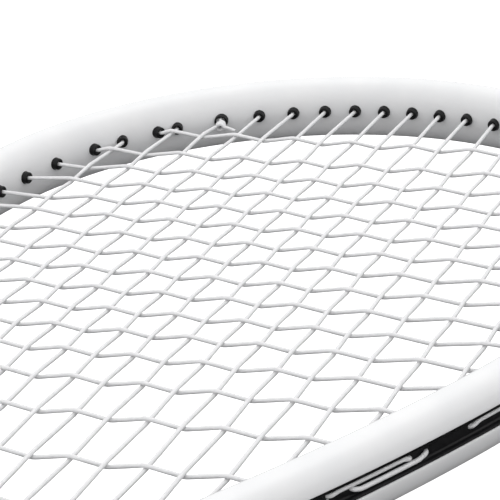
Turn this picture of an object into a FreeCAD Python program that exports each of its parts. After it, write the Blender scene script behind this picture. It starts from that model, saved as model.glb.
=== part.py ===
import FreeCAD, Part

import math
import os

import Sketcher

Vector = FreeCAD.Vector

# A strung squash racket lying flat: X is across the head, +Y points from the butt to the tip, and Z is
# square to the strings. The origin is the middle of the footprint, on the plane that the racket lies on.

DIMENSIONS = (
    # the moulded frame
    ("overall_length", 686.0),
    ("plane_height", 16.0),
    ("beam_width", 10.4),
    ("beam_depth", 19.0),
    ("wall", 1.0),
    ("tip_radius", 100.2),
    ("tip_turn", 78.0),
    ("side_radius", 195.0),
    ("side_turn", 36.0),
    ("arm_radius", 560.0),
    ("arm_turn", 7.0),
    ("throat_radius", 140.0),
    ("arm_spacing", 9.2),
    ("shaft_width", 19.6),
    ("shaft_corner", 6.8),
    ("deep_wall", 1.4),
    ("shaft_start", 8.0),
    ("shaft_overlap", 14.0),
    ("crotch_radius", 3.4),
    ("crotch_width", 13.0),
    ("crotch_length", 34.0),
    ("crotch_reach", 33.0),
    # the bridge across the throat
    ("bridge_drop", 273.4),
    ("bridge_radius", 120.0),
    ("bridge_width", 7.5),
    ("bridge_depth", 17.0),
    # the groove around the frame and the strips in it
    ("groove_width", 4.8),
    ("groove_depth", 2.5),
    ("groove_runout", 12.0),
    ("bridge_groove_depth", 2.0),
    ("bed_thickness", 0.7),
    ("channel_width", 3.8),
    ("strip_clearance", 0.05),
    ("guard_proud", 1.2),
    ("guard_width", 12.0),
    ("guard_turn", 47.0),
    ("bumper_turn", 57.0),
    ("strip_gap", 0.6),
    ("barrel_diameter", 3.5),
    ("barrel_bore", 1.6),
    ("tie_barrel_diameter", 4.2),
    ("tie_barrel_bore", 2.9),
    ("barrel_stand", 1.6),
    # the strings
    ("string_diameter", 1.15),
    ("main_gap", 9.4),
    ("main_spread", 3.0),
    ("first_cross", 30.1),
    ("cross_gap", 11.9),
    ("main_lift", 0.38),
    ("cross_lift", 0.84),
    ("groove_lane", 1.0),
    ("exit_lane", 0.2),
    ("tie_lane", 0.62),
    ("turn_at_exit", 2.6),
    ("bend_radius", 4.0),
    ("exit_bend_radius", 1.2),
    ("knot_stand", 2.6),
    ("knot_diameter", 2.3),
    # the handle
    ("pallet_length", 196.0),
    ("pallet_width", 28.0),
    ("pallet_height", 24.4),
    ("pallet_bevel", 6.4),
    ("grip_thickness", 1.7),
    ("tape_width", 14.0),
    ("tape_thickness", 0.3),
    ("collar_length", 24.0),
    ("collar_lip", 11.0),
    ("collar_wall", 1.3),
    ("collar_neck_bevel", 6.2),
    ("cap_width", 36.0),
    ("cap_height", 32.0),
    ("cap_bevel", 8.0),
    ("cap_flare", 17.0),
    ("cap_neck", 12.0),
    ("cap_floor", 3.0),
    ("cap_wall", 0.9),
    ("cap_edge", 2.0),
    ("cap_lip", 0.3),
    ("staple_width", 9.0),
    ("staple_leg", 4.5),
    ("staple_wire", 0.6),
)

# How much wider each end gap between two crosses is than the gaps in the middle of the bed
TIP_WIDENING = (6.3, 1.8, 0.8, 0.3)
THROAT_WIDENING = (0.8, 2.2, 5.0, 9.0, 8.8)
EVEN_CROSS_GAPS = 7
MAINS_PER_SIDE = 8
BRIDGE_MAINS = 4
# The fourth main's hole in the bridge sits this much nearer the middle than its string, and the outermost
# main's lower hole this much further down the arm, because both meet a wall at a slant.
PULLED_IN = 1.2
MOVED_DOWN = 6.0
# How far a hole's axis turns from square to the wall towards its string: 0 is square, 1 is along the string
HOLE_LEAN = 0.4

doc = FreeCAD.newDocument("SquashRacket")
sheet = doc.addObject("Spreadsheet::Sheet", "Dimensions")
for row, (alias, value) in enumerate(DIMENSIONS, start=1):
    sheet.set("A%d" % row, alias)
    sheet.set("B%d" % row, str(value))
    sheet.setAlias("B%d" % row, alias)
doc.recompute()


def size(alias):
    return float(sheet.get(alias))


UP = Vector(0, 0, 1)
PLANE = size("plane_height")
BUTT = -size("overall_length") / 2
TUBE_HALF = size("beam_width") / 2
BRIDGE_HALF = size("bridge_width") / 2
TIP_Y = -BUTT - size("guard_proud") - TUBE_HALF
INNER_TIP_Y = TIP_Y - TUBE_HALF
STRING_RADIUS = size("string_diameter") / 2


# ---------------------------------------------------------------- curves that the tube and bridge follow


class Curve:
    """A plane curve of straight and round runs, the same on both sides of the racket's long axis.

    It starts on that axis, heading along +X. Each run is a length and a curvature, positive to the left.
    A distance s along it is negative on the -X side. side is +1 where the outside is on the left of the
    heading. bed is how far the string's centre lies outside the curve when it lies in the groove.
    wall_at and floor_at say where the outer wall and the groove's floor are, as sheet formulas.
    """

    def __init__(self, start_y, side, runs, width, groove_depth):
        self.side = side
        self.half = size(width) / 2
        self.floor = self.half - size(groove_depth)
        self.bed = self.floor + size("bed_thickness") + STRING_RADIUS
        self.wall_at = "Dimensions.%s / 2" % width
        self.floor_at = "%s - Dimensions.%s" % (self.wall_at, groove_depth)
        self.runs = []
        x, y, heading, begin = 0.0, start_y, 0.0, 0.0
        for length, curvature in runs:
            self.runs.append((begin, begin + length, x, y, heading, curvature))
            x, y, heading = self.step(x, y, heading, curvature, length)
            begin += length
        self.length = begin

    @staticmethod
    def step(x, y, heading, curvature, length):
        if curvature == 0:
            return x + length * math.cos(heading), y + length * math.sin(heading), heading
        turned = heading + curvature * length
        x += (math.sin(turned) - math.sin(heading)) / curvature
        y -= (math.cos(turned) - math.cos(heading)) / curvature
        return x, y, turned

    def at(self, s):
        """The point at s, the outward normal and the direction of growing s."""
        distance = abs(s)
        for begin, end, x, y, heading, curvature in self.runs:
            if distance <= end or end == self.length:
                break
        x, y, heading = self.step(x, y, heading, curvature, distance - begin)
        mirror = -1 if s < 0 else 1
        normal = Vector(-math.sin(heading) * self.side * mirror, math.cos(heading) * self.side, 0)
        tangent = Vector(math.cos(heading), math.sin(heading) * mirror, 0)
        return Vector(x * mirror, y, PLANE), normal, tangent

    def offset(self, s, outward, height=0.0):
        point, normal, _ = self.at(s)
        return point + normal * outward + UP * height

    def wire(self, low, high):
        """The stretch from low to high as lines and arcs."""
        corners = {0.0}
        for begin, end, *_ in self.runs:
            corners |= {end, -end}
        stops = [low] + sorted(corner for corner in corners if low < corner < high) + [high]
        edges = []
        for first, last in zip(stops, stops[1:]):
            middle = (first + last) / 2
            begin, _, _, _, _, curvature = [run for run in self.runs if run[0] <= abs(middle)][-1]
            points = [self.at(s)[0] for s in (first, middle, last)]
            if curvature == 0:
                edges.append(Part.LineSegment(points[0], points[2]).toShape())
            else:
                edges.append(Part.Arc(*points).toShape())
        return Part.Wire(edges)

    def section_placement(self, s):
        """Where a section drawn with x outwards and y upwards stands square to the curve."""
        point, normal, _ = self.at(s)
        return FreeCAD.Placement(point, FreeCAD.Rotation(normal, UP, normal.cross(UP), "XYZ"))

    def find(self, low, high, reached):
        """The s between low and high where reached(inner wall point) turns true."""
        for _ in range(50):
            middle = (low + high) / 2
            if reached(self.offset(middle, -self.half)):
                high = middle
            else:
                low = middle
        return high


def racket_curve():
    turns = [math.radians(size(alias)) for alias in ("tip_turn", "side_turn", "arm_turn")]
    radii = [size(alias) for alias in ("tip_radius", "side_radius", "arm_radius")]
    runs = [(radius * turn, -1 / radius) for radius, turn in zip(radii, turns)]
    lean = sum(turns) - math.pi / 2
    throat = size("throat_radius")
    open_curve = Curve(TIP_Y, 1, runs, "beam_width", "groove_depth")
    arm_x = open_curve.at(open_curve.length)[0].x
    straight = (arm_x - throat * (1 - math.cos(lean)) - size("arm_spacing") / 2) / math.sin(lean)
    runs += [(straight, 0), (throat * lean, 1 / throat)]
    return Curve(TIP_Y, 1, runs, "beam_width", "groove_depth")


def bridge_curve():
    middle_y = INNER_TIP_Y - size("bridge_drop") - BRIDGE_HALF
    reach_past_arms = 0.4 * size("bridge_radius")
    runs = [(reach_past_arms, 1 / size("bridge_radius"))]
    return Curve(middle_y, -1, runs, "bridge_width", "bridge_groove_depth")


RIM = racket_curve()
BRIDGE = bridge_curve()
TIP_ARC = size("tip_radius") * math.radians(size("tip_turn"))
WIDEST = TIP_ARC + size("side_radius") * math.radians(90 - size("tip_turn"))
ARM_END = RIM.runs[-1][0]


# ---------------------------------------------------------------- where the strings run


def main_offsets():
    """Half distances of the mains from the long axis, with gaps that widen towards the sides."""
    offsets = [size("main_gap") / 2]
    for number in range(1, MAINS_PER_SIDE):
        spread = size("main_spread") * (number / (MAINS_PER_SIDE - 1)) ** 3
        offsets.append(offsets[-1] + size("main_gap") + spread)
    return offsets


def cross_heights():
    gaps = [size("cross_gap") + more for more in TIP_WIDENING]
    gaps += [size("cross_gap")] * EVEN_CROSS_GAPS
    gaps += [size("cross_gap") + more for more in THROAT_WIDENING]
    heights = [INNER_TIP_Y - size("first_cross")]
    for gap in gaps:
        heights.append(heights[-1] - gap)
    return heights


MAIN_X = main_offsets()
CROSS_Y = cross_heights()
MAINS = 2 * MAINS_PER_SIDE
CROSSES = len(CROSS_Y)
LAST_MAIN = MAINS - 1
LAST_CROSS = CROSSES - 1
TIE_MAINS = (2, LAST_MAIN - 2)
TIE_CROSS_LEFT = 5
TIE_CROSS_RIGHT = LAST_CROSS - 1


class Hole:
    """One string hole through a tube: the point on the inner wall, the way out, and the end in the groove."""

    def __init__(self, curve, s, along, lean=HOLE_LEAN, tie=False):
        self.curve = curve
        _, normal, _ = curve.at(s)
        self.inner = curve.offset(s, -curve.half)
        self.axis = normal * (1 - lean) + along * lean
        self.axis.normalize()
        self.tie = tie
        self.slope = self.axis.dot(normal)
        self.stand = size("barrel_stand")
        self.exit = self.inner + self.axis * ((curve.half + curve.bed) / self.slope)
        self.s_exit = s
        for _ in range(12):
            point, _, tangent = curve.at(self.s_exit)
            self.s_exit += 0.9 * (self.exit - point).dot(tangent)
        self.mouth = self.inner - self.axis * self.stand

    def mirrored(self):
        twin = Hole.__new__(Hole)
        twin.__dict__.update(self.__dict__)
        for name in ("inner", "axis", "exit", "mouth"):
            vector = getattr(self, name)
            setattr(twin, name, Vector(-vector.x, vector.y, vector.z))
        twin.s_exit = -self.s_exit
        return twin

    def cylinder(self, diameter, first, last):
        """A cylinder on the hole's axis, between two heights along the curve's normal."""
        start = self.inner + self.axis * ((self.curve.half + first) / self.slope)
        end = self.inner + self.axis * ((self.curve.half + last) / self.slope)
        return Part.makeCylinder(diameter / 2, (end - start).Length, start, end - start)


def main_holes():
    """Top and bottom hole of each main on the +X side, from the middle outwards."""
    tops, bottoms = [], []
    for number, x in enumerate(MAIN_X):
        tied = MAINS_PER_SIDE + number == TIE_MAINS[1]
        s = RIM.find(0, WIDEST, lambda point: point.x >= x)
        tops.append(Hole(RIM, s, Vector(0, 1, 0), tie=tied))
        if number < BRIDGE_MAINS:
            pulled_in = PULLED_IN if number == BRIDGE_MAINS - 1 else 0.0
            s = BRIDGE.find(0, BRIDGE.length, lambda point: point.x >= x - pulled_in)
            aside = Vector(-0.1, -1, 0) if pulled_in else Vector(0, -1, 0)
            bottoms.append(Hole(BRIDGE, s, aside, lean=1.0))
        else:
            s = RIM.find(WIDEST, ARM_END, lambda point: point.x <= x)
            lower = MOVED_DOWN if number == MAINS_PER_SIDE - 1 else 0.0
            bottoms.append(Hole(RIM, s + lower, Vector(0, -1, 0)))
    return tops, bottoms


def cross_holes(tied_number):
    """The hole of each cross on the +X side, from the tip down."""
    holes = []
    for number, y in enumerate(CROSS_Y):
        s = RIM.find(0, ARM_END, lambda point: point.y <= y)
        holes.append(Hole(RIM, s, Vector(1, 0, 0), tie=number == tied_number))
    return holes


def both_sides(right):
    return [hole.mirrored() for hole in reversed(right)] + right


TOP, BOTTOM = [both_sides(holes) for holes in main_holes()]
RIGHT = cross_holes(TIE_CROSS_RIGHT)
LEFT = [hole.mirrored() for hole in cross_holes(TIE_CROSS_LEFT)]


def main_line(number):
    """The straight stretches of a main as points, from its top mouth to its bottom mouth."""
    x = TOP[number].inner.x
    points = [TOP[number].mouth]
    if abs(BOTTOM[number].mouth.x - x) > 0.9:
        lower = [y for y in CROSS_Y if y > BOTTOM[number].mouth.y + 8]
        points.append(Vector(x, lower[-1], PLANE))
    points.append(BOTTOM[number].mouth)
    return points


def main_x_at(number, y):
    line = main_line(number)
    x = TOP[number].inner.x
    if len(line) == 2 or y >= line[1].y:
        return x
    share = (line[1].y - y) / (line[1].y - line[2].y)
    return line[1].x + share * (line[2].x - line[1].x)


def crosses_meet(main, cross):
    y = CROSS_Y[cross]
    if not BOTTOM[main].mouth.y + 1.0 < y < TOP[main].mouth.y - 1.0:
        return False
    return abs(main_x_at(main, y)) < RIGHT[cross].mouth.x - 0.8


LANE = size("groove_lane")
TIE_LANE = size("tie_lane")


def crossing(main, cross, of_main):
    """A string's centre where a main and a cross pass: even sums have the main on top."""
    above = (main + cross) % 2 == 0
    lift = size("main_lift" if of_main else "cross_lift")
    y = CROSS_Y[cross]
    return Vector(main_x_at(main, y), y, PLANE + (lift if above == of_main else -lift))


def through(hole, lane):
    """Mouth and exit of a string in a hole. In a tie-off hole the two strings lie side by side."""
    shift = TIE_LANE if hole.tie else 0.0
    at_exit = TIE_LANE if hole.tie else size("exit_lane")
    sign = math.copysign(1, lane)
    return [hole.mouth + UP * shift * sign, hole.exit + UP * at_exit * sign]


def groove_run(first, last, lane, later_lane=None, change_at=0.5):
    """Points along the groove between two exits. The string may change to another lane on the way."""
    curve = first.curve
    span = last.s_exit - first.s_exit
    way = math.copysign(size("turn_at_exit"), span)
    begin, end = first.s_exit + way, last.s_exit - way
    steps = max(1, round(abs(end - begin) / 6.0))
    points = []
    for step in range(steps + 1):
        share = step / steps
        height = lane if later_lane is None or share < change_at else later_lane
        points.append(curve.offset(begin + share * (end - begin), curve.bed, height))
    return points


def main_route():
    left_tie, right_tie = (TOP[number] for number in TIE_MAINS)
    points = [tie_tail(left_tie, LANE)] + through(left_tie, LANE)
    points += groove_run(left_tie, TOP[0], LANE, -LANE, 0.6)
    for number in range(MAINS):
        down = number % 2 == 0
        passed = [crossing(number, cross, True) for cross in range(CROSSES) if crosses_meet(number, cross)]
        way_in = through(TOP[number], -LANE)
        way_out = through(BOTTOM[number], -LANE)
        run = way_in[::-1] + passed + way_out
        points += run if down else run[::-1]
        if number < LAST_MAIN:
            holes = BOTTOM if down else TOP
            points += groove_run(holes[number], holes[number + 1], -LANE)
    points += groove_run(TOP[LAST_MAIN], right_tie, -LANE, LANE, 0.4)
    points += through(right_tie, LANE)[::-1] + [tie_tail(right_tie, LANE)]
    return points


def cross_route():
    left_tie, right_tie = LEFT[TIE_CROSS_LEFT], RIGHT[TIE_CROSS_RIGHT]
    points = [tie_tail(left_tie, -LANE)] + through(left_tie, -LANE)
    points += groove_run(left_tie, LEFT[0], -LANE, LANE, 0.9)
    for number in range(CROSSES):
        to_right = number % 2 == 0
        passed = [crossing(main, number, False) for main in range(MAINS) if crosses_meet(main, number)]
        run = through(LEFT[number], LANE)[::-1] + passed + through(RIGHT[number], LANE)
        points += run if to_right else run[::-1]
        if number < LAST_CROSS:
            holes = RIGHT if to_right else LEFT
            points += groove_run(holes[number], holes[number + 1], LANE)
    points += groove_run(RIGHT[LAST_CROSS], right_tie, LANE, -LANE, 0.75)
    points += through(right_tie, -LANE)[::-1] + [tie_tail(right_tie, -LANE)]
    return points


def tie_tail(hole, lane):
    """The string's end, where the knot sits against the barrel."""
    return hole.mouth - hole.axis * size("knot_stand") + UP * math.copysign(TIE_LANE, lane)


def rounded_wire(points):
    """Straight runs joined by tangent arcs. Bends sharper than 25 degrees are the tight ones at the exits."""
    edges, start = [], points[0]
    for before, corner, after in zip(points, points[1:], points[2:]):
        back = before - corner
        on = after - corner
        shorter = min(back.Length, on.Length)
        turn = math.pi - back.getAngle(on)
        if turn < 0.001:
            continue
        half_tangent = math.tan(turn / 2)
        wanted = size("exit_bend_radius") if turn > math.radians(25) else size("bend_radius")
        radius = min(wanted, 0.45 * shorter / half_tangent)
        back.normalize()
        on.normalize()
        bisector = back + on
        bisector.normalize()
        first, last = corner + back * (radius * half_tangent), corner + on * (radius * half_tangent)
        middle = corner + bisector * (radius / math.cos(turn / 2) - radius)
        edges.append(Part.LineSegment(start, first).toShape())
        edges.append(Part.Arc(first, middle, last).toShape())
        start = last
    edges.append(Part.LineSegment(start, points[-1]).toShape())
    return Part.Wire(edges)


# ---------------------------------------------------------------- helpers for document objects


def feature(name, shape):
    made = doc.addObject("Part::Feature", name)
    made.Shape = shape
    return made


def combine(kind, name, *parts):
    """A boolean of document objects: Cut takes two, the others take any number."""
    made = doc.addObject("Part::" + kind, name)
    if kind == "Cut":
        made.Base, made.Tool = parts
    else:
        made.Shapes = list(parts)
    return made


def bind(sketch, name, expression):
    sketch.renameConstraint(sketch.ConstraintCount - 1, name)
    sketch.setExpression("Constraints." + name, expression)


def closed_outline(sketch, corners):
    """Lines through the corners, joined end to end."""
    count = len(corners)
    for first, last in zip(corners, corners[1:] + corners[:1]):
        sketch.addGeometry(Part.LineSegment(Vector(*first, 0), Vector(*last, 0)), False)
    for number in range(count):
        sketch.addConstraint(Sketcher.Constraint("Coincident", number, 2, (number + 1) % count, 1))


def octagon(sketch, width, height, bevel):
    """The bevelled outline of a racket handle, centred on the sketch's origin. Its sizes come from the sheet."""
    x, y, cut = 15.0, 13.0, 7.0
    corners = [(x, cut - y), (x, y - cut), (x - cut, y), (cut - x, y)]
    corners += [(-x, y - cut), (-x, cut - y), (cut - x, -y), (x - cut, -y)]
    closed_outline(sketch, corners)
    for first, opposite in ((0, 4), (1, 5), (2, 6), (3, 7)):
        sketch.addConstraint(Sketcher.Constraint("Symmetric", first, 1, opposite, 1, -1, 1))
    sketch.addConstraint(Sketcher.Constraint("Symmetric", 0, 1, 1, 1, -1))
    sketch.addConstraint(Sketcher.Constraint("Symmetric", 2, 1, 3, 1, -2))
    sketch.addConstraint(Sketcher.Constraint("DistanceX", 5, 1, 0, 1, 2 * x))
    bind(sketch, "width", width)
    sketch.addConstraint(Sketcher.Constraint("DistanceY", 7, 1, 2, 1, 2 * y))
    bind(sketch, "height", height)
    sketch.addConstraint(Sketcher.Constraint("DistanceX", 3, 1, 2, 1, 2 * (x - cut)))
    bind(sketch, "flat_across", "%s - 2 * (%s)" % (width, bevel))
    sketch.addConstraint(Sketcher.Constraint("DistanceY", 0, 1, 1, 1, 2 * (y - cut)))
    bind(sketch, "flat_up", "%s - 2 * (%s)" % (height, bevel))


def rectangle(sketch, left, right, height):
    """A rectangle between two distances from the sketch's upright axis, centred on the other axis."""
    closed_outline(sketch, [(1.0, -1.0), (2.0, -1.0), (2.0, 1.0), (1.0, 1.0)])
    for level in (0, 2):
        sketch.addConstraint(Sketcher.Constraint("Horizontal", level))
    sketch.addConstraint(Sketcher.Constraint("Symmetric", 0, 2, 1, 2, -1))
    sketch.addConstraint(Sketcher.Constraint("Vertical", 3))
    sketch.addConstraint(Sketcher.Constraint("DistanceX", -1, 1, 0, 1, 1.0))
    bind(sketch, "left", left)
    sketch.addConstraint(Sketcher.Constraint("DistanceX", -1, 1, 0, 2, 2.0))
    bind(sketch, "right", right)
    sketch.addConstraint(Sketcher.Constraint("DistanceY", 0, 2, 1, 2, 2.0))
    bind(sketch, "height", height)


def obround(sketch, width, depth, centre="0"):
    """Two half circles joined by straight walls, with its middle at a distance along the x axis."""
    radius, flat = 5.0, 4.0
    sketch.addGeometry(Part.LineSegment(Vector(radius, -flat, 0), Vector(radius, flat, 0)), False)
    top = Part.Circle(Vector(0, flat, 0), UP, radius)
    sketch.addGeometry(Part.ArcOfCircle(top, 0, math.pi), False)
    sketch.addGeometry(Part.LineSegment(Vector(-radius, flat, 0), Vector(-radius, -flat, 0)), False)
    bottom = Part.Circle(Vector(0, -flat, 0), UP, radius)
    sketch.addGeometry(Part.ArcOfCircle(bottom, math.pi, 2 * math.pi), False)
    for first, second in ((0, 1), (1, 2), (2, 3), (3, 0)):
        sketch.addConstraint(Sketcher.Constraint("Tangent", first, 2, second, 1))
    sketch.addConstraint(Sketcher.Constraint("Symmetric", 0, 1, 0, 2, -1))
    sketch.addConstraint(Sketcher.Constraint("Equal", 1, 3))
    sketch.addConstraint(Sketcher.Constraint("Radius", 1, radius))
    bind(sketch, "radius", "(%s) / 2" % width)
    sketch.addConstraint(Sketcher.Constraint("DistanceY", 0, 1, 0, 2, 2 * flat))
    bind(sketch, "flat", "%s - (%s)" % (depth, width))
    sketch.addConstraint(Sketcher.Constraint("DistanceX", -1, 1, 0, 2, radius))
    bind(sketch, "outside", "(%s) / 2 + (%s)" % (width, centre))


def sweep(name, curve, low, high, outline, *sizes):
    """A section drawn square to the curve's start, carried along the curve from low to high."""
    path = feature(name + "Path", curve.wire(low, high))
    section = doc.addObject("Sketcher::SketchObject", name + "Section")
    section.Placement = curve.section_placement(low)
    outline(section, *sizes)
    made = doc.addObject("Part::Sweep", name)
    made.Sections = [section]
    made.Spine = (path, ["Edge%d" % (number + 1) for number in range(len(path.Shape.Edges))])
    made.Solid = True
    made.Frenet = False
    return made


def origin_plane(body, role):
    return next(plane for plane in body.Origin.OriginFeatures if plane.Role == role)


def handle_body(name):
    return doc.addObject("PartDesign::Body", name)


def handle_sketch(body, name, from_butt, outline, *sizes):
    """A sketch square to the handle's axis, a distance from the butt end."""
    sketch = body.newObject("Sketcher::SketchObject", name)
    sketch.AttachmentSupport = [(origin_plane(body, "XZ_Plane"), "")]
    sketch.MapMode = "FlatFace"
    sketch.setExpression("AttachmentOffset.Base.y", "Dimensions.plane_height")
    sketch.setExpression("AttachmentOffset.Base.z", "Dimensions.overall_length / 2 - (%s)" % from_butt)
    outline(sketch, *sizes)
    return sketch


def padded(body, name, sketch, length):
    """A pad from the sketch towards the tip."""
    pad = body.newObject("PartDesign::Pad", name)
    pad.Profile = sketch
    pad.Reversed = True
    pad.setExpression("Length", length)
    return pad


def octagon_pad(name, from_butt, length, width, height, bevel):
    body = handle_body(name)
    sketch = handle_sketch(body, name + "Outline", from_butt, octagon, width, height, bevel)
    padded(body, name + "Pad", sketch, length)
    return body


def lofted(body, name, first, others):
    loft = body.newObject("PartDesign::AdditiveLoft", name)
    loft.Profile = first
    loft.Sections = others
    loft.Ruled = True
    return loft


# ---------------------------------------------------------------- moulded frame and bridge

GROOVE_END = max(hole.s_exit for hole in BOTTOM[-BRIDGE_MAINS:] + RIGHT) + size("groove_runout")


def rounded_box(name, wider, corner, from_butt, until):
    """The shaft's outline with its four long edges rounded, or a smaller one inside it."""
    box = doc.addObject("Part::Box", name + "Box")
    width = "Dimensions.shaft_width + 2 * %s" % wider
    depth = "Dimensions.beam_depth + 2 * %s" % wider
    box.setExpression("Length", width)
    box.setExpression("Height", depth)
    box.setExpression("Width", "%s - (%s)" % (until, from_butt))
    box.setExpression("Placement.Base.x", "-(%s) / 2" % width)
    box.setExpression("Placement.Base.y", "%s - Dimensions.overall_length / 2" % from_butt)
    box.setExpression("Placement.Base.z", "Dimensions.plane_height - (%s) / 2" % depth)
    doc.recompute()
    rounded = doc.addObject("Part::Fillet", name)
    rounded.Base = box
    long_edges = [number for number, edge in enumerate(box.Shape.Edges, start=1)
                  if abs(edge.tangentAt(0).y) > 0.9]
    rounded.Edges = [(number, corner, corner) for number in long_edges]
    return rounded


arms_meet = RIM.at(RIM.length)[0].y - BUTT
shaft = rounded_box("Shaft", "0", size("shaft_corner"), "Dimensions.shaft_start",
                    "%f + Dimensions.shaft_overlap" % arms_meet)
shaft_cavity = rounded_box("ShaftCavity", "-Dimensions.wall", size("shaft_corner") - size("wall"),
                           "Dimensions.shaft_start - 1", "%f" % arms_meet)
tube = sweep("Tube", RIM, -RIM.length, RIM.length, obround, "Dimensions.beam_width", "Dimensions.beam_depth")
tube_cavity = sweep("TubeCavity", RIM, -RIM.length, RIM.length, obround,
                    "Dimensions.beam_width - Dimensions.groove_depth - 2 * Dimensions.wall",
                    "Dimensions.beam_depth - 2 * Dimensions.deep_wall", "-Dimensions.groove_depth / 2")


def crotch_web():
    """Solid moulding that closes the narrow end of the throat, with a round end towards the bridge."""
    width, length = size("crotch_width"), size("crotch_length")
    depth = 0.8 * size("beam_depth")
    bottom = PLANE - depth / 2
    end = RIM.at(RIM.length)[0].y + size("crotch_reach")
    web = Part.makeBox(width, length, depth, Vector(-width / 2, end - length, bottom))
    return web.cut(Part.makeCylinder(size("crotch_radius"), depth, Vector(0, end, bottom)))


def compound_of(name, solids):
    return feature(name, Part.makeCompound(solids))


def hole_tool(hole):
    diameter = size("tie_barrel_diameter") if hole.tie else size("barrel_diameter")
    return hole.cylinder(diameter + 0.1, -hole.curve.half - 3, hole.curve.half + 3)


RIM_HOLES = TOP + LEFT + RIGHT + [hole for hole in BOTTOM if hole.curve is RIM]
BRIDGE_HOLES = [hole for hole in BOTTOM if hole.curve is BRIDGE]

web = feature("CrotchWeb", crotch_web())
envelope = combine("MultiFuse", "FrameEnvelope", tube, shaft, web)
hollow = combine("MultiFuse", "FrameHollow", tube_cavity, shaft_cavity)
groove = sweep("Groove", RIM, -GROOVE_END, GROOVE_END, rectangle,
               RIM.floor_at, RIM.wall_at + " + 2", "Dimensions.groove_width")
rim_drilling = compound_of("RimDrilling", [hole_tool(hole) for hole in RIM_HOLES])
racket_frame = combine("Cut", "RacketFrame", combine("Cut", "GroovedTube", combine(
    "Cut", "HollowTube", envelope, hollow), groove), rim_drilling)

bridge_bar = sweep("BridgeBar", BRIDGE, -BRIDGE.length, BRIDGE.length, obround,
                   "Dimensions.bridge_width", "Dimensions.bridge_depth")
bridge_groove = sweep("BridgeGroove", BRIDGE, -BRIDGE.length, BRIDGE.length, rectangle,
                      BRIDGE.floor_at, BRIDGE.wall_at + " + 2", "Dimensions.groove_width")
bridge_drilling = compound_of("BridgeDrilling", [hole_tool(hole) for hole in BRIDGE_HOLES])
bridge_fit = combine("Cut", "BridgeFit", bridge_bar, envelope)
throat_bridge = combine("Cut", "ThroatBridge", combine(
    "Cut", "GroovedBridge", bridge_fit, bridge_groove), bridge_drilling)


# ---------------------------------------------------------------- grommet strips


def barrel(hole):
    outer = size("tie_barrel_diameter") if hole.tie else size("barrel_diameter")
    return hole.cylinder(outer, -hole.curve.half - hole.stand * hole.slope, hole.curve.floor + 0.2)


def bore(hole):
    inner = size("tie_barrel_bore") if hole.tie else size("barrel_bore")
    return hole.cylinder(inner, -hole.curve.half - 4, hole.curve.half)


def grommet_strip(name, curve, low, high, holes, guard=None):
    """A channel-shaped strip that lies in the groove, with a barrel through the tube for each string."""
    width = "Dimensions.groove_width - 2 * Dimensions.strip_clearance"
    top = curve.wall_at + (" + 0.1" if guard else " - 0.1")
    base = sweep(name + "Base", curve, low, high, rectangle, curve.floor_at, top, width)
    channel = sweep(name + "Channel", curve, low, high, rectangle, curve.floor_at + " + Dimensions.bed_thickness",
                    curve.wall_at + " + 4", "Dimensions.channel_width")
    body = base
    if guard:
        rails = sweep(name + "Rails", curve, -guard, guard, rectangle, curve.wall_at + " - Dimensions.guard_proud",
                      curve.wall_at + " + Dimensions.guard_proud", "Dimensions.guard_width")
        outer_rails = combine("Cut", name + "OuterRails", rails, envelope)
        body = combine("MultiFuse", name + "Guarded", base, outer_rails)
    barrels = compound_of(name + "Barrels", [barrel(hole) for hole in holes])
    bores = compound_of(name + "Bores", [bore(hole) for hole in holes])
    trough = combine("Cut", name + "Trough", body, channel)
    joined = combine("MultiFuse", name + "Joined", trough, barrels)
    return combine("Cut", name, joined, bores)


def holes_between(holes, low, high):
    return [hole for hole in holes if low < hole.s_exit < high]


bumper_end, guard_end = (size("tip_radius") * math.radians(size(turn)) for turn in ("bumper_turn", "guard_turn"))
head_bumper = grommet_strip("HeadBumper", RIM, -bumper_end, bumper_end,
                            holes_between(RIM_HOLES, -bumper_end, bumper_end), guard=guard_end)
side_low, side_high = bumper_end + size("strip_gap"), GROOVE_END - size("strip_gap")
grommet_strip_right = grommet_strip("GrommetStripRight", RIM, side_low, side_high,
                                    holes_between(RIM_HOLES, side_low, side_high))
grommet_strip_left = grommet_strip("GrommetStripLeft", RIM, -side_high, -side_low,
                                   holes_between(RIM_HOLES, -side_high, -side_low))
bridge_reach = BRIDGE_HOLES[-1].s_exit + 2.2
bridge_grommet_strip = grommet_strip("BridgeGrommetStrip", BRIDGE, -bridge_reach, bridge_reach, BRIDGE_HOLES)


# ---------------------------------------------------------------- strings


def string_solid(points):
    wire = rounded_wire(points)
    heading = points[1] - points[0]
    circle = Part.Wire([Part.makeCircle(STRING_RADIUS, points[0], heading)])
    solid = wire.makePipeShell([circle], True, False)
    expected = math.pi * STRING_RADIUS ** 2 * wire.Length
    print("string length %.0f mm, volume %.1f of %.1f mm3" % (wire.Length, solid.Volume, expected))
    return solid


def tie_knot(points):
    """The knot that locks a string's end, drawn as one round ball on the end of the string."""
    return Part.makeSphere(size("knot_diameter") / 2, points[0], Vector(1, 0, 0))


def knotted_string(name, points):
    string = feature(name + "Run", string_solid(points))
    first = feature(name + "FirstKnot", tie_knot(points))
    last = feature(name + "LastKnot", tie_knot(points[::-1]))
    return combine("MultiFuse", name, string, first, last)


main_string = knotted_string("MainString", main_route())
cross_string = knotted_string("CrossString", cross_route())


# ---------------------------------------------------------------- handle

PALLET = ("Dimensions.pallet_width", "Dimensions.pallet_height", "Dimensions.pallet_bevel")


# A layer on a 45 degree bevel makes the corner it cuts off grow by this share of the layer's thickness.
BEVEL_GROWTH = 2 - math.sqrt(2)


def grown(by, outline=PALLET):
    """An octagon's sizes with a layer of a thickness on every side. The layer may be negative."""
    width, height, bevel = outline
    return ("%s + 2 * %s" % (width, by), "%s + 2 * %s" % (height, by), "%s + %f * %s" % (bevel, BEVEL_GROWTH, by))


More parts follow.
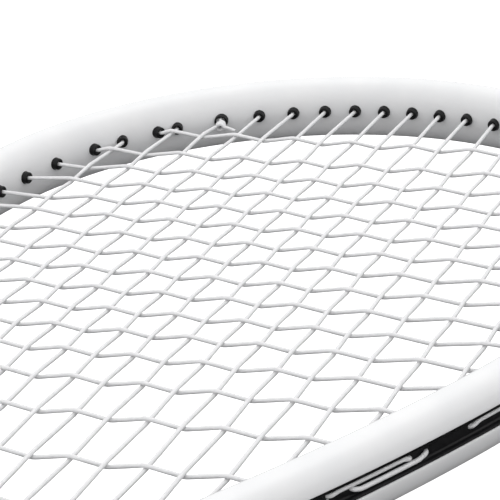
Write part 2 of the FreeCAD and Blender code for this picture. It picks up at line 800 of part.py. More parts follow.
pallet_blank = octagon_pad("PalletBlank", "Dimensions.cap_floor",
                           "Dimensions.pallet_length - Dimensions.cap_floor", *PALLET)
grip_blank = octagon_pad("GripBlank", "Dimensions.cap_flare",
                         "Dimensions.pallet_length - Dimensions.cap_flare", *grown("Dimensions.grip_thickness"))
tape_blank = octagon_pad("TapeBlank", "Dimensions.pallet_length - Dimensions.tape_width", "Dimensions.tape_width",
                         *grown("(Dimensions.grip_thickness + Dimensions.tape_thickness)"))


def collar_blank_body():
    """A rubber collar: a straight lip over the end of the grip, then a taper down to the shaft."""
    body = handle_body("CollarBlank")
    outer = grown("(Dimensions.grip_thickness + Dimensions.tape_thickness + Dimensions.collar_wall)")
    start = "Dimensions.pallet_length - Dimensions.collar_lip"
    lip = handle_sketch(body, "CollarLipOutline", start, octagon, *outer)
    padded(body, "CollarLip", lip, "Dimensions.collar_lip")
    shoulder = handle_sketch(body, "CollarShoulder", "Dimensions.pallet_length", octagon, *outer)
    neck = handle_sketch(body, "CollarNeck", "Dimensions.pallet_length + Dimensions.collar_length "
                         "- Dimensions.collar_lip", octagon, "Dimensions.shaft_width + 2 * Dimensions.collar_wall",
                         "Dimensions.beam_depth + 2 * Dimensions.collar_wall", "Dimensions.collar_neck_bevel")
    lofted(body, "CollarTaper", shoulder, [neck])
    return body


def cap_blank_body():
    """A butt cap: a flared end that stops the hand, and a thin neck over the pallet, under the grip."""
    body = handle_body("CapBlank")
    flare = ("Dimensions.cap_width", "Dimensions.cap_height", "Dimensions.cap_bevel")
    end = grown("(-Dimensions.cap_edge)", flare)
    waist = grown("(Dimensions.grip_thickness + Dimensions.cap_lip)")
    outlines = (("CapEnd", "0", end), ("CapEdge", "Dimensions.cap_edge", flare),
                ("CapBelly", "Dimensions.cap_flare / 2", flare), ("CapWaist", "Dimensions.cap_flare", waist))
    sketches = [handle_sketch(body, name, place, octagon, *outline) for name, place, outline in outlines]
    lofted(body, "CapFlare", sketches[0], sketches[1:])
    neck = handle_sketch(body, "CapNeckOutline", "Dimensions.cap_flare", octagon, *grown("Dimensions.cap_wall"))
    padded(body, "CapNeck", neck, "Dimensions.cap_neck")
    return body


def staples():
    """Two wire staples, one on each broad side, that hold the cap's neck to the pallet."""
    width, leg, wire = size("staple_width"), size("staple_leg"), size("staple_wire")
    y = BUTT + size("cap_flare") + size("cap_neck") / 2
    solids = []
    for side in (-1, 1):
        crown_z = PLANE + side * (size("pallet_height") / 2 + size("cap_wall") + wire / 2)
        crown = Part.makeBox(width, wire, wire, Vector(-width / 2, y, crown_z - wire / 2))
        solid = crown
        for x in (-width / 2, width / 2 - wire):
            low = crown_z - wire / 2 if side < 0 else crown_z + wire / 2 - leg
            solid = solid.fuse(Part.makeBox(wire, wire, leg, Vector(x, y, low)))
        solids.append(solid.removeSplitter())
    return solids


collar_blank = collar_blank_body()
cap_blank = cap_blank_body()
cap_staples = compound_of("CapStaples", staples())

handle_pallet = combine("Cut", "HandlePallet", pallet_blank, combine(
    "MultiFuse", "PalletTools", shaft, cap_staples))
butt_cap = combine("Cut", "ButtCap", cap_blank, combine("MultiFuse", "CapTools", pallet_blank, cap_staples))
base_grip = combine("Cut", "BaseGrip", grip_blank, combine(
    "MultiFuse", "GripTools", pallet_blank, cap_blank, cap_staples))
finishing_tape = combine("Cut", "FinishingTape", tape_blank, grip_blank)
grip_collar = combine("Cut", "GripCollar", collar_blank, combine(
    "MultiFuse", "CollarTools", tape_blank, grip_blank, pallet_blank, shaft))


# ---------------------------------------------------------------- checks and files

SUBPARTS = {
    "racket_frame": racket_frame,
    "throat_bridge": throat_bridge,
    "head_bumper": head_bumper,
    "grommet_strip_right": grommet_strip_right,
    "grommet_strip_left": grommet_strip_left,
    "bridge_grommet_strip": bridge_grommet_strip,
    "main_string": main_string,
    "cross_string": cross_string,
    "handle_pallet": handle_pallet,
    "base_grip": base_grip,
    "finishing_tape": finishing_tape,
    "grip_collar": grip_collar,
    "butt_cap": butt_cap,
    "cap_staples": cap_staples,
}

for label, made in SUBPARTS.items():
    made.Label = label
doc.recompute()

for made in doc.Objects:
    if "Invalid" in made.State or "Error" in made.State:
        raise RuntimeError("%s failed: %s" % (made.Name, made.State))

os.makedirs("parts", exist_ok=True)
for label, made in SUBPARTS.items():
    shape = made.Shape
    if shape.isNull() or not shape.isValid() or not shape.Solids:
        raise RuntimeError(label + " has no valid solid")
    box = shape.BoundBox
    print("%-22s %2d solids %9.1f mm3  x %.1f..%.1f  y %.1f..%.1f  z %.1f..%.1f" % (
        label, len(shape.Solids), shape.Volume, box.XMin, box.XMax, box.YMin, box.YMax, box.ZMin, box.ZMax))
    shape.exportStep("parts/%s.step" % label)
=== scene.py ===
import math

import bmesh
import bpy
from mathutils import Euler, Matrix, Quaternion, Vector


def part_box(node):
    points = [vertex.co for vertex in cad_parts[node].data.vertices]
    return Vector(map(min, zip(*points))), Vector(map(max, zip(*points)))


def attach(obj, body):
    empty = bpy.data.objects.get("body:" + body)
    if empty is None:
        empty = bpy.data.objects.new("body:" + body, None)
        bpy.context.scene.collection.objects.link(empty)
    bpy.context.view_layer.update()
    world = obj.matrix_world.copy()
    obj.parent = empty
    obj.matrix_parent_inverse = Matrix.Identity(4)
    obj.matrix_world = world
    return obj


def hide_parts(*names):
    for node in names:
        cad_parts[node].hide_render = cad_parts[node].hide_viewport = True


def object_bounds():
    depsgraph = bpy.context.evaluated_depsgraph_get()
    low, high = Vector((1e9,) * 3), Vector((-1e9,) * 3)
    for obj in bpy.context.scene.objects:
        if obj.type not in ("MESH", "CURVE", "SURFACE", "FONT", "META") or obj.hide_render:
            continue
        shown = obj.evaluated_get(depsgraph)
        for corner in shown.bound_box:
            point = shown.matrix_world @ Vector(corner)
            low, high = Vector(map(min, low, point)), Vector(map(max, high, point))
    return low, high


# The looks of a strung squash racket that lies flat. Lengths are in millimetres until a mesh is made.
# X is across the head, +Y points from the butt to the tip, and Z is square to the strings.

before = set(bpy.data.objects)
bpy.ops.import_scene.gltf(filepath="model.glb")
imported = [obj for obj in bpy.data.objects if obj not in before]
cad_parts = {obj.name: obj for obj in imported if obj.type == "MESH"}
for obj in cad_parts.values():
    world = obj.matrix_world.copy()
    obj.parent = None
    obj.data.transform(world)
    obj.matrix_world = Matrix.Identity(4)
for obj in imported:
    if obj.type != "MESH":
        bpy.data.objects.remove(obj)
CAD_LOW, CAD_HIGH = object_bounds()

MM = 0.001
UP = Vector((0, 0, 1))


def node_box(name):
    """A CAD node's lowest and highest corner in millimetres."""
    low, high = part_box(name)
    return low / MM, high / MM


# ---------------------------------------------------------------- sizes, as the CAD has them

BEAM_WIDTH = 10.4
BRIDGE_WIDTH = 7.5
GROOVE_WIDTH = 4.8
GROOVE_DEPTH = 2.5
BRIDGE_GROOVE_DEPTH = 2.0
GROOVE_RUNOUT = 12.0
BED_THICKNESS = 0.7
CHANNEL_WIDTH = 3.8
GUARD_PROUD = 1.2
GUARD_REACH = 6.0
BARREL_RADIUS = 1.75
BARREL_BORE = 0.8
TIE_BARREL_RADIUS = 2.1
TIE_BARREL_BORE = 1.45
BARREL_STAND = 1.6
STRING_RADIUS = 0.575

TIP_RADIUS, TIP_TURN = 100.2, math.radians(78)
SIDE_RADIUS, SIDE_TURN = 195.0, math.radians(36)
ARM_RADIUS, ARM_TURN = 560.0, math.radians(7)
THROAT_RADIUS = 140.0
ARM_SPACING = 9.2
BRIDGE_DROP = 273.4
BRIDGE_RADIUS = 120.0
GUARD_END = TIP_RADIUS * math.radians(47)
BUMPER_END = TIP_RADIUS * math.radians(57)
STRIP_GAP = 0.6

MAIN_GAP, MAIN_SPREAD = 9.4, 3.0
MAINS_PER_SIDE = 8
BRIDGE_MAINS = 4
FIRST_CROSS, CROSS_GAP = 30.1, 11.9
TIP_WIDENING = (6.3, 1.8, 0.8, 0.3)
THROAT_WIDENING = (0.8, 2.2, 5.0, 9.0, 8.8)
EVEN_CROSS_GAPS = 7

# How far a hole's axis turns from square to the wall towards its string: 0 is square, 1 is along the string
HOLE_LEAN = 0.4
# The fourth main's hole in the bridge sits this much nearer the middle than its string, and the outermost
# main's lower hole this much further down the arm, because both meet a wall at a slant.
PULLED_IN = 1.2
MOVED_DOWN = 6.0
# A main whose lower hole is out of line by more than this turns towards it over the last stretch.
BENT_MAIN = 0.9
BENT_STRETCH = 8
# Crossings nearer to the frame than this are left out, on a main and on a cross
MAIN_END_ROOM = 1.0
CROSS_END_ROOM = 0.8

MAIN_LIFT = 0.38
CROSS_LIFT = 0.84
LANE = 1.0
EXIT_LANE = 0.2
TIE_LANE = 0.62
KNOT_TURNS, KNOT_STEPS = 2.2, 34
KNOT_START = 0.5
KNOT_TAIL = (1.2, 2.4, 3.6)
KNOT_TAIL_AHEAD, KNOT_TAIL_SIDE = 0.5, 0.7
TURN_AT_EXIT = 2.6
GROOVE_STEP = 6.0
BEND_RADIUS = 4.0
EXIT_BEND_RADIUS = 1.2
STRING_SIDES = 12

FRAME_LOW, FRAME_HIGH = node_box("racket_frame")
PLANE = (FRAME_LOW.z + FRAME_HIGH.z) / 2
BEAM_DEPTH = FRAME_HIGH.z - FRAME_LOW.z
BRIDGE_DEPTH = 17.0
TIP_Y = node_box("head_bumper")[1].y - GUARD_PROUD - BEAM_WIDTH / 2
INNER_TIP_Y = TIP_Y - BEAM_WIDTH / 2

# How square the tube's section is: 2 is an ellipse, and larger is nearer to a box
TUBE_SQUARENESS = 2.35
SHAFT_SQUARENESS = 3.0
SHAFT_HALF_WIDTH, SHAFT_HALF_DEPTH = 9.8, 9.5
WEB_LENGTH = 33
WEB_END_ROUNDING = 5
COLLAR_WALL = 1.1
OUTLINE_STEPS = 71


# ---------------------------------------------------------------- curves that the tube and bridge follow


class Curve:
    """A plane curve of straight and round runs, the same on both sides of the racket's long axis.

    It starts on that axis, heading along +X. A distance s along it is negative on the -X side. side is +1
    where the outside is on the left of the heading.
    """

    def __init__(self, start_y, side, runs, width, depth, groove_depth):
        self.side = side
        self.half = width / 2
        self.half_depth = depth / 2
        self.floor = self.half - groove_depth
        self.bed = self.floor + BED_THICKNESS + STRING_RADIUS
        self.runs = []
        x, y, heading, begin = 0.0, start_y, 0.0, 0.0
        for length, curvature in runs:
            self.runs.append((begin, begin + length, x, y, heading, curvature))
            x, y, heading = self.step(x, y, heading, curvature, length)
            begin += length
        self.length = begin

    @staticmethod
    def step(x, y, heading, curvature, length):
        if curvature == 0:
            return x + length * math.cos(heading), y + length * math.sin(heading), heading
        turned = heading + curvature * length
        x += (math.sin(turned) - math.sin(heading)) / curvature
        y -= (math.cos(turned) - math.cos(heading)) / curvature
        return x, y, turned

    def at(self, s):
        """The point at s, the outward normal and the direction of growing s."""
        distance = abs(s)
        for begin, end, x, y, heading, curvature in self.runs:
            if distance <= end or end == self.length:
                break
        x, y, heading = self.step(x, y, heading, curvature, distance - begin)
        mirror = -1 if s < 0 else 1
        normal = Vector((-math.sin(heading) * self.side * mirror, math.cos(heading) * self.side, 0))
        tangent = Vector((math.cos(heading), math.sin(heading) * mirror, 0))
        return Vector((x * mirror, y, PLANE)), normal, tangent

    def offset(self, s, outward, height=0.0):
        point, normal, _ = self.at(s)
        return point + normal * outward + UP * height

    def wall(self, height):
        """Half the section's width at a height above or below the string plane."""
        share = min(1.0, abs(height) / self.half_depth)
        return self.half * (1 - share ** TUBE_SQUARENESS) ** (1 / TUBE_SQUARENESS)

    def find(self, low, high, reached):
        """The s between low and high where reached(inner wall point) turns true."""
        for _ in range(50):
            middle = (low + high) / 2
            if reached(self.offset(middle, -self.half)):
                high = middle
            else:
                low = middle
        return high


def racket_curve():
    turns = (TIP_TURN, SIDE_TURN, ARM_TURN)
    radii = (TIP_RADIUS, SIDE_RADIUS, ARM_RADIUS)
    runs = [(radius * turn, -1 / radius) for radius, turn in zip(radii, turns)]
    lean = sum(turns) - math.pi / 2
    section = (BEAM_WIDTH, BEAM_DEPTH, GROOVE_DEPTH)
    open_curve = Curve(TIP_Y, 1, runs, *section)
    arm_end_x = open_curve.at(open_curve.length)[0].x
    straight = (arm_end_x - THROAT_RADIUS * (1 - math.cos(lean)) - ARM_SPACING / 2) / math.sin(lean)
    runs += [(straight, 0), (THROAT_RADIUS * lean, 1 / THROAT_RADIUS)]
    return Curve(TIP_Y, 1, runs, *section)


def bridge_curve():
    middle_y = INNER_TIP_Y - BRIDGE_DROP - BRIDGE_WIDTH / 2
    runs = [(0.4 * BRIDGE_RADIUS, 1 / BRIDGE_RADIUS)]
    return Curve(middle_y, -1, runs, BRIDGE_WIDTH, BRIDGE_DEPTH, BRIDGE_GROOVE_DEPTH)


RIM = racket_curve()
BRIDGE = bridge_curve()
WIDEST = TIP_RADIUS * TIP_TURN + SIDE_RADIUS * (math.pi / 2 - TIP_TURN)
ARM_END = RIM.runs[-1][0]


# ---------------------------------------------------------------- where the strings run


def main_offsets():
    """Half distances of the mains from the long axis, with gaps that widen towards the sides."""
    offsets = [MAIN_GAP / 2]
    for number in range(1, MAINS_PER_SIDE):
        spread = MAIN_SPREAD * (number / (MAINS_PER_SIDE - 1)) ** 3
        offsets.append(offsets[-1] + MAIN_GAP + spread)
    return offsets


def cross_heights():
    gaps = [CROSS_GAP + more for more in TIP_WIDENING]
    gaps += [CROSS_GAP] * EVEN_CROSS_GAPS
    gaps += [CROSS_GAP + more for more in THROAT_WIDENING]
    heights = [INNER_TIP_Y - FIRST_CROSS]
    for gap in gaps:
        heights.append(heights[-1] - gap)
    return heights


MAIN_X = main_offsets()
CROSS_Y = cross_heights()
MAINS = 2 * MAINS_PER_SIDE
CROSSES = len(CROSS_Y)
LAST_MAIN = MAINS - 1
LAST_CROSS = CROSSES - 1
TIE_MAINS = (2, LAST_MAIN - 2)
TIE_CROSS_LEFT = 5
TIE_CROSS_RIGHT = LAST_CROSS - 1


class Hole:
    """One string hole through a tube: the point on the inner wall, the way out, and the end in the groove."""

    def __init__(self, curve, s, along, lean=HOLE_LEAN, tie=False):
        self.curve = curve
        _, normal, _ = curve.at(s)
        self.inner = curve.offset(s, -curve.half)
        self.axis = (normal * (1 - lean) + along * lean).normalized()
        self.tie = tie
        self.slope = self.axis.dot(normal)
        self.exit = self.inner + self.axis * ((curve.half + curve.bed) / self.slope)
        self.s_exit = s
        for _ in range(12):
            point, _, tangent = curve.at(self.s_exit)
            self.s_exit += 0.9 * (self.exit - point).dot(tangent)
        self.mouth = self.inner - self.axis * BARREL_STAND

    def mirrored(self):
        twin = Hole.__new__(Hole)
        twin.__dict__.update(self.__dict__)
        for name in ("inner", "axis", "exit", "mouth"):
            vector = getattr(self, name)
            setattr(twin, name, Vector((-vector.x, vector.y, vector.z)))
        twin.s_exit = -self.s_exit
        return twin


def main_holes():
    """Top and bottom hole of each main on the +X side, from the middle outwards."""
    tops, bottoms = [], []
    for number, x in enumerate(MAIN_X):
        tied = MAINS_PER_SIDE + number == TIE_MAINS[1]
        s = RIM.find(0, WIDEST, lambda point: point.x >= x)
        tops.append(Hole(RIM, s, Vector((0, 1, 0)), tie=tied))
        if number < BRIDGE_MAINS:
            pulled_in = PULLED_IN if number == BRIDGE_MAINS - 1 else 0.0
            s = BRIDGE.find(0, BRIDGE.length, lambda point: point.x >= x - pulled_in)
            aside = Vector((-0.1, -1, 0)) if pulled_in else Vector((0, -1, 0))
            bottoms.append(Hole(BRIDGE, s, aside, lean=1.0))
        else:
            s = RIM.find(WIDEST, ARM_END, lambda point: point.x <= x)
            lower = MOVED_DOWN if number == MAINS_PER_SIDE - 1 else 0.0
            bottoms.append(Hole(RIM, s + lower, Vector((0, -1, 0))))
    return tops, bottoms


def cross_holes(tied_number):
    """The hole of each cross on the +X side, from the tip down."""
    holes = []
    for number, y in enumerate(CROSS_Y):
        s = RIM.find(0, ARM_END, lambda point: point.y <= y)
        holes.append(Hole(RIM, s, Vector((1, 0, 0)), tie=number == tied_number))
    return holes


def both_sides(right):
    return [hole.mirrored() for hole in reversed(right)] + right


TOP, BOTTOM = [both_sides(holes) for holes in main_holes()]
RIGHT = cross_holes(TIE_CROSS_RIGHT)
LEFT = [hole.mirrored() for hole in cross_holes(TIE_CROSS_LEFT)]
RIM_HOLES = TOP + LEFT + RIGHT + [hole for hole in BOTTOM if hole.curve is RIM]
BRIDGE_HOLES = [hole for hole in BOTTOM if hole.curve is BRIDGE]
GROOVE_END = max(hole.s_exit for hole in BOTTOM[-BRIDGE_MAINS:] + RIGHT) + GROOVE_RUNOUT


def main_line(number):
    """The straight stretches of a main as points, from its top mouth to its bottom mouth."""
    x = TOP[number].inner.x
    points = [TOP[number].mouth]
    if abs(BOTTOM[number].mouth.x - x) > BENT_MAIN:
        lower = [y for y in CROSS_Y if y > BOTTOM[number].mouth.y + BENT_STRETCH]
        points.append(Vector((x, lower[-1], PLANE)))
    points.append(BOTTOM[number].mouth)
    return points


def main_x_at(number, y):
    line = main_line(number)
    x = TOP[number].inner.x
    if len(line) == 2 or y >= line[1].y:
        return x
    share = (line[1].y - y) / (line[1].y - line[2].y)
    return line[1].x + share * (line[2].x - line[1].x)


def crosses_meet(main, cross):
    y = CROSS_Y[cross]
    if not BOTTOM[main].mouth.y + MAIN_END_ROOM < y < TOP[main].mouth.y - MAIN_END_ROOM:
        return False
    return abs(main_x_at(main, y)) < RIGHT[cross].mouth.x - CROSS_END_ROOM


def crossing(main, cross, of_main):
    """A string's centre where a main and a cross pass: even sums have the main on top."""
    above = (main + cross) % 2 == 0
    lift = MAIN_LIFT if of_main else CROSS_LIFT
    y = CROSS_Y[cross]
    return Vector((main_x_at(main, y), y, PLANE + (lift if above == of_main else -lift)))


def through(hole, lane):
    """Mouth and exit of a string in a hole. In a tie-off hole the two strings lie side by side."""
    shift = TIE_LANE if hole.tie else 0.0
    at_exit = TIE_LANE if hole.tie else EXIT_LANE
    sign = math.copysign(1, lane)
    return [hole.mouth + UP * shift * sign, hole.exit + UP * at_exit * sign]


def groove_run(first, last, lane, later_lane=None, change_at=0.5):
    """Points along the groove between two exits. The string may change to another lane on the way."""
    curve = first.curve
    span = last.s_exit - first.s_exit
    way = math.copysign(TURN_AT_EXIT, span)
    begin, end = first.s_exit + way, last.s_exit - way
    steps = max(1, round(abs(end - begin) / GROOVE_STEP))
    points = []
    for step in range(steps + 1):
        share = step / steps
        height = lane if later_lane is None or share < change_at else later_lane
        points.append(curve.offset(begin + share * (end - begin), curve.bed, height))
    return points


def knot_end(hole, lane):
    """The string's end at a tie-off: two turns round the string that shares the hole, then a short tail.

    The turns are a loop of points on a helix, so they start where the string leaves the barrel.
    """
    sign = math.copysign(1, lane)
    inward = -hole.axis
    aside = UP.cross(inward)
    core = hole.mouth - UP * TIE_LANE * sign
    turn_radius = 2 * STRING_RADIUS
    pitch = 1.25 * STRING_RADIUS * 2
    points = []
    for step in range(KNOT_STEPS + 1):
        angle = 2 * math.pi * KNOT_TURNS * step / KNOT_STEPS
        away = KNOT_START + pitch * angle / (2 * math.pi)
        radial = UP * sign * math.cos(angle) + aside * math.sin(angle)
        points.append(core + inward * away + radial * turn_radius)
    tail = (points[-1] - points[-2]).normalized()
    for reach in KNOT_TAIL:
        sideways = aside * sign * KNOT_TAIL_SIDE * reach
        points.append(points[KNOT_STEPS] + tail * reach * KNOT_TAIL_AHEAD + sideways)
    return points


def main_route():
    left_tie, right_tie = (TOP[number] for number in TIE_MAINS)
    points = knot_end(left_tie, LANE)[::-1] + through(left_tie, LANE)
    points += groove_run(left_tie, TOP[0], LANE, -LANE, 0.6)
    for number in range(MAINS):
        down = number % 2 == 0
        passed = [crossing(number, cross, True) for cross in range(CROSSES) if crosses_meet(number, cross)]
        run = through(TOP[number], -LANE)[::-1] + passed + through(BOTTOM[number], -LANE)
        points += run if down else run[::-1]
        if number < LAST_MAIN:
            holes = BOTTOM if down else TOP
            points += groove_run(holes[number], holes[number + 1], -LANE)
    points += groove_run(TOP[LAST_MAIN], right_tie, -LANE, LANE, 0.4)
    return points + through(right_tie, LANE)[::-1] + knot_end(right_tie, LANE)


def cross_route():
    left_tie, right_tie = LEFT[TIE_CROSS_LEFT], RIGHT[TIE_CROSS_RIGHT]
    points = knot_end(left_tie, -LANE)[::-1] + through(left_tie, -LANE)
    points += groove_run(left_tie, LEFT[0], -LANE, LANE, 0.9)
    for number in range(CROSSES):
        to_right = number % 2 == 0
        passed = [crossing(main, number, False) for main in range(MAINS) if crosses_meet(main, number)]
        run = through(LEFT[number], LANE)[::-1] + passed + through(RIGHT[number], LANE)
        points += run if to_right else run[::-1]
        if number < LAST_CROSS:
            holes = RIGHT if to_right else LEFT
            points += groove_run(holes[number], holes[number + 1], LANE)
    points += groove_run(RIGHT[LAST_CROSS], right_tie, LANE, -LANE, 0.75)
    return points + through(right_tie, -LANE)[::-1] + knot_end(right_tie, -LANE)


def rounded_path(points):
    """The points' straight runs joined by round bends, as a dense line of points."""
    path = [points[0]]
    for before, corner, after in zip(points, points[1:], points[2:]):
        back, on = before - corner, after - corner
        shorter = min(back.length, on.length)
        turn = math.pi - back.angle(on)
        if turn < 0.001:
            continue
        half_tangent = math.tan(turn / 2)
        wanted = EXIT_BEND_RADIUS if turn > math.radians(25) else BEND_RADIUS
        radius = min(wanted, 0.45 * shorter / half_tangent)
        back.normalize()
        on.normalize()
        centre = corner + (back + on).normalized() * (radius / math.cos(turn / 2))
        first = corner + back * (radius * half_tangent)
        axis = on.cross(back).normalized()
        steps = max(3, math.ceil(turn / math.radians(12)))
        for step in range(steps + 1):
            swing = Quaternion(axis, turn * step / steps)
            path.append(centre + swing @ (first - centre))
    path.append(points[-1])
    return path


# ---------------------------------------------------------------- mesh helpers


def finish_mesh(piece, sharp=math.radians(40)):
    """Outward normals, smooth shading and crisp edges where the surface turns by more than sharp."""
    work = bmesh.new()
    work.from_mesh(piece.data)
    bmesh.ops.remove_doubles(work, verts=work.verts, dist=0.002 * MM)
    bmesh.ops.dissolve_degenerate(work, edges=work.edges, dist=0.002 * MM)
    bmesh.ops.recalc_face_normals(work, faces=work.faces)
    work.to_mesh(piece.data)
    work.free()
    piece.data.shade_smooth()
    piece.data.set_sharp_from_angle(angle=sharp)
    return piece


def skinned(name, rings, capped=True):
    """A mesh over rings of points in millimetres, with a UV map in millimetres along and around it.

    The rings are capped at both ends, or the last is joined to the first.
    """
    count = len(rings[0])
    rows = len(rings) - 1 if capped else len(rings)
    along = [0.0]
    for ring, after in zip(rings, rings[1:] + rings[:1]):
        along.append(along[-1] + (after[0] - ring[0]).length)
    around = [0.0]
    for point, after in zip(rings[0], rings[0][1:] + rings[0][:1]):
        around.append(around[-1] + (after - point).length)
    faces, places = [], []
    for row in range(rows):
        below = ((row + 1) % len(rings)) * count
        for column in range(count):
            right = (column + 1) % count
            faces.append((row * count + column, row * count + right, below + right, below + column))
            for up, across in ((row, column), (row, column + 1), (row + 1, column + 1), (row + 1, column)):
                places += [along[up], around[across]]
    if capped:
        faces.append(tuple(reversed(range(count))))
        faces.append(tuple(range(count * rows, count * rows + count)))
        places += [0.0, 0.0] * 2 * count
    mesh = bpy.data.meshes.new(name)
    mesh.from_pydata([point * MM for ring in rings for point in ring], [], faces)
    layer = mesh.uv_layers.new(name="Surface")
    layer.data.foreach_set("uv", places)
    piece = bpy.data.objects.new(name, mesh)
    bpy.context.scene.collection.objects.link(piece)
    return piece


def joined(name, pieces):
    """Several pieces as one object, in one mesh."""
    with bpy.context.temp_override(active_object=pieces[0], selected_editable_objects=pieces):
        bpy.ops.object.join()
    pieces[0].name = name
    return pieces[0]


def united(base, other):
    """One closed surface round two pieces."""
    modifier = base.modifiers.new("Union", "BOOLEAN")
    modifier.operation = "UNION"
    modifier.solver = "EXACT"
    modifier.use_self = True
    modifier.object = other
    evaluated = base.evaluated_get(bpy.context.evaluated_depsgraph_get())
    mesh = bpy.data.meshes.new_from_object(evaluated)
    base.modifiers.clear()
    base.data = mesh
    bpy.data.objects.remove(other)
    return base


def place(piece, material, slot, *nodes):
    """Gives a piece its material, and puts it in place of its CAD nodes."""
    piece.data.materials.clear()
    piece.data.materials.append(material)
    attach(piece, "root")
    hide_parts(*nodes)


def swept(name, curve, stations, outline):
    """A section carried along a curve. outline(s) gives its points as (outwards, height)."""
    rings = []
    for s in stations:
        point, normal, _ = curve.at(s)
        rings.append([point + normal * outward + UP * height for outward, height in outline(s)])
    return skinned(name, rings)


def even_steps(low, high, pitch):
    count = max(1, round((high - low) / pitch))
    return [low + (high - low) * step / count for step in range(count + 1)]


def smooth_step(value, start, end):
    share = min(1.0, max(0.0, (value - start) / (end - start)))
    return share * share * (3 - 2 * share)


def superellipse(half_width, half_height, squareness, start, end, steps):
    """Points of a superellipse from one angle to another, as (x, z)."""
    power = 2 / squareness
    points = []
    for step in range(steps + 1):
        angle = start + (end - start) * step / steps
        cosine, sine = math.cos(angle), math.sin(angle)
        points.append((half_width * math.copysign(abs(cosine) ** power, cosine),
                       half_height * math.copysign(abs(sine) ** power, sine)))
    return points


# ---------------------------------------------------------------- shader helpers


def new_material(name):
    """A material and a way to add its nodes: node(kind, **inputs) sets inputs and links sockets."""
    material = bpy.data.materials.new(name)
    material.use_nodes = True
    tree = material.node_tree
    shader = tree.nodes["Principled BSDF"]

    def connect(target, value):
        if isinstance(value, bpy.types.NodeSocket):
            tree.links.new(value, target)
        else:
            target.default_value = value

    def node(kind, settings=None, **inputs):
        made = tree.nodes.new("ShaderNode" + kind)
        for key, value in (settings or {}).items():
            setattr(made, key, value)
        for key, value in inputs.items():
            connect(made.inputs[key.replace("_", " ")], value)
        return made

    def shade(**inputs):
        for key, value in inputs.items():
            connect(shader.inputs[key.replace("_", " ")], value)

    return material, node, shade


def noise(node, scale, detail=3.0, stretch=None):
    """A noise pattern in object space, with scale in patterns per metre."""
    surface = node("TexCoord").outputs["Object"]
    if stretch:
        surface = node("Mapping", Vector=surface, Scale=stretch).outputs["Vector"]
    return node("TexNoise", Vector=surface, Scale=scale, Detail=detail).outputs["Fac"]


def spread(node, value, low, high):
    """A pattern's middle range spread between two numbers."""
    ranged = node("MapRange", Value=value)
    for key, number in (("From Min", 0.3), ("From Max", 0.7), ("To Min", low), ("To Max", high)):
        ranged.inputs[key].default_value = number
    return ranged.outputs["Result"]


def tint(node, value, dark, light):
    """A colour between two, by a pattern."""
    ramp = node("ValToRGB", Fac=value)
    ramp.color_ramp.elements[0].position = 0.3
    ramp.color_ramp.elements[0].color = (*dark, 1)
    ramp.color_ramp.elements[1].position = 0.7
    ramp.color_ramp.elements[1].color = (*light, 1)
    return ramp.outputs["Color"]


def bumped(node, height, distance, strength=1.0):
    return node("Bump", Height=height, Distance=distance * MM, Strength=strength).outputs["Normal"]


# ---------------------------------------------------------------- materials


def lacquer_material():
    """White gloss lacquer: clear coat over white paint, with the faint waviness of a sprayed tube."""
    material, node, shade = new_material("white_lacquer")
    shade(Base_Color=tint(node, noise(node, 90), (0.83, 0.835, 0.845), (0.87, 0.87, 0.875)),
          Roughness=spread(node, noise(node, 260), 0.30, 0.42),
          Normal=bumped(node, noise(node, 320, 2.0), 0.02, 0.35))
    shade(Coat_Weight=0.6, Coat_Roughness=0.08, Specular_IOR_Level=0.45)
    return material


def nylon_material():
    """Black moulded nylon with a fine spark-eroded skin."""
    material, node, shade = new_material("black_nylon")
    shade(Base_Color=tint(node, noise(node, 500), (0.003, 0.003, 0.0035), (0.009, 0.009, 0.01)),
          Roughness=spread(node, noise(node, 900), 0.30, 0.45),
          Normal=bumped(node, noise(node, 2600, 2.0), 0.02, 0.3))
    shade(Specular_IOR_Level=0.22)
    return material


def string_material():
    """White multifilament string: a smooth skin over a slight twist, with a little light through it."""
    material, node, shade = new_material("white_string")
    surface = node("TexCoord").outputs["UV"]
    slanted = node("Mapping", Vector=surface, Rotation=(0, 0, math.radians(38))).outputs["Vector"]
    twist = node("TexWave", {"wave_type": "BANDS"}, Vector=slanted, Scale=1.6, Distortion=0.6, Detail=2.0)
    shade(Base_Color=tint(node, noise(node, 700), (0.74, 0.74, 0.75), (0.80, 0.80, 0.805)),
          Roughness=spread(node, noise(node, 1500), 0.42, 0.58),
          Normal=bumped(node, twist.outputs["Fac"], 0.02, 0.35))
    shade(Subsurface_Weight=0.8, Subsurface_Radius=(1.0 * MM, 1.0 * MM, 1.0 * MM), Subsurface_Scale=1.0)
    return material


def grip_material():
    """Black polyurethane wrap: a soft matt skin with rows of small punched holes."""
    material, node, shade = new_material("black_grip")
    surface = node("TexCoord").outputs["UV"]
    holes = node("TexVoronoi", {"feature": "F1"}, Vector=surface, Scale=0.42, Randomness=0.0)
    punched = node("MapRange", Value=holes.outputs["Distance"])
    for key, number in (("From Min", 0.10), ("From Max", 0.24), ("To Min", 0.0), ("To Max", 1.0)):
        punched.inputs[key].default_value = number
    grain = noise(node, 1400, 4.0)
    height = node("Math", {"operation": "MULTIPLY_ADD"})
    height.inputs[1].default_value = 0.15
    material.node_tree.links.new(grain, height.inputs[0])
    material.node_tree.links.new(punched.outputs["Result"], height.inputs[2])
    shade(Base_Color=tint(node, noise(node, 160), (0.010, 0.010, 0.011), (0.022, 0.022, 0.024)),
          Roughness=spread(node, noise(node, 600), 0.55, 0.75),
          Normal=bumped(node, height.outputs["Value"], 0.25, 0.6))
    shade(Sheen_Weight=0.04, Sheen_Roughness=0.5, Specular_IOR_Level=0.3)
    return material


